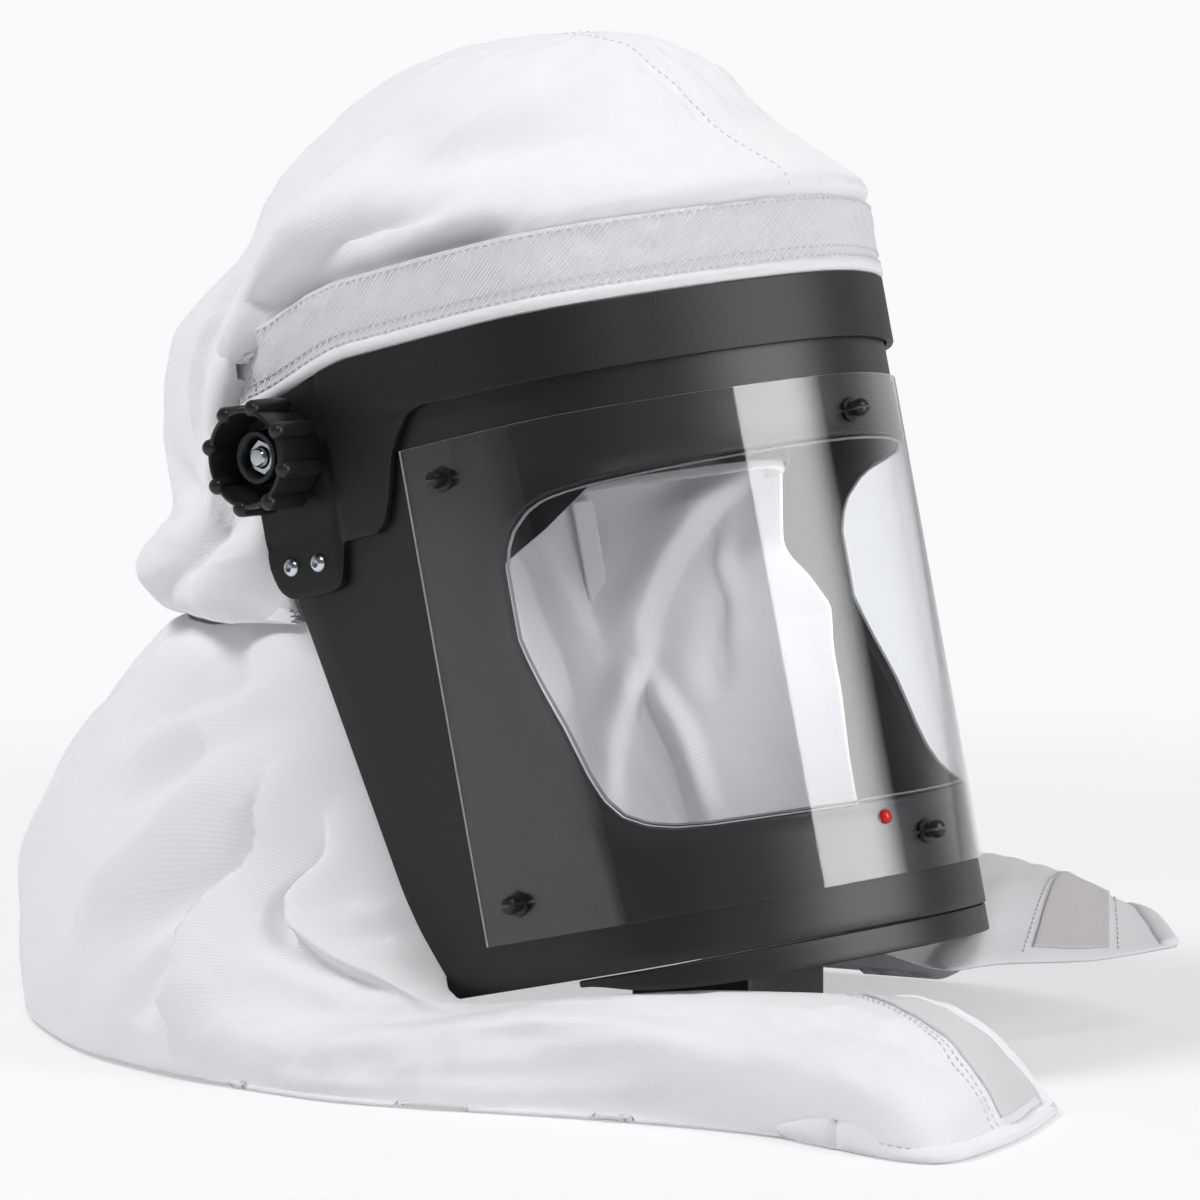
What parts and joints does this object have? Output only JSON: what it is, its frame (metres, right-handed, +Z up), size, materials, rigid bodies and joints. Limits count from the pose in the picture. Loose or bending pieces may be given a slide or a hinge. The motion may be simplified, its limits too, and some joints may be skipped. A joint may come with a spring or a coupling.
{
  "type": "respirator hood",
  "caption": "Respirator hood: cloth crown and open neck cape on a curved black face frame with a clear film visor, side clamp knobs and an inner head harness.",
  "frame": {"origin": "middle of the footprint, on the surface the hood stands on", "axes": "+Z up, the face looks along -Y, the wearer's left is +X"},
  "size_m": [0.314, 0.422, 0.325],
  "materials": {
    "cloth_white": "fine matt weave",
    "band_white": "heavier twill",
    "binding_white": "smooth tape",
    "hook_tape": "fine hooks",
    "loop_pile": "short pile",
    "pad_grey": "soft knit over foam",
    "frame_black": "fine moulded grain",
    "brow_black": "coarser moulded grain",
    "knob_black": "satin moulding",
    "harness_black": "satin moulding",
    "clear_film": "clear, glossy",
    "zinc": "bright zinc plate",
    "red_plastic": "glossy bead"
  },
  "bodies": {
    "hood": {"face_plate": "frame_black", "brow_band": "brow_black", "chin_bar": "frame_black", "visor_film": "clear_film", "indicator_bead": "red_plastic", "pivot_bolt_right": "zinc", "pivot_bolt_left": "zinc", "head_harness": "harness_black", "sweatband": "pad_grey", "crown_band": "band_white", "edge_binding": "binding_white", "hood_crown": "cloth_white", "neck_cape": "cloth_white", "chin_block": "knob_black", "hook_patch": "hook_tape", "loop_patch": "loop_pile", "inner_cloth": "cloth_white", "hanging_tape": "binding_white", "snap_stud_right_top": "knob_black", "snap_stud_right_bottom": "knob_black", "snap_stud_centre_top": "knob_black", "snap_stud_centre_bottom": "knob_black", "snap_stud_left_top": "knob_black", "snap_stud_left_bottom": "knob_black", "tab_screw_front_right": "zinc", "tab_screw_rear_right": "zinc", "tab_screw_front_left": "zinc", "tab_screw_rear_left": "zinc"},
    "knob_right": {"clamp_knob_right": "knob_black", "pivot_nut_right": "zinc"},
    "knob_left": {"clamp_knob_left": "knob_black", "pivot_nut_left": "zinc"}
  },
  "joints": [
    {"name": "knob_right_turn", "type": "hinge", "parent": "hood", "child": "knob_right", "pos_m": [-0.10014, 0.05282, 0.19241], "axis": [-0.9982, 0.0584, -0.0133], "continuous": true},
    {"name": "knob_left_turn", "type": "hinge", "parent": "hood", "child": "knob_left", "pos_m": [0.0719, 0.05282, 0.19241], "axis": [0.9982, 0.0584, -0.0133], "continuous": true}
  ]
}
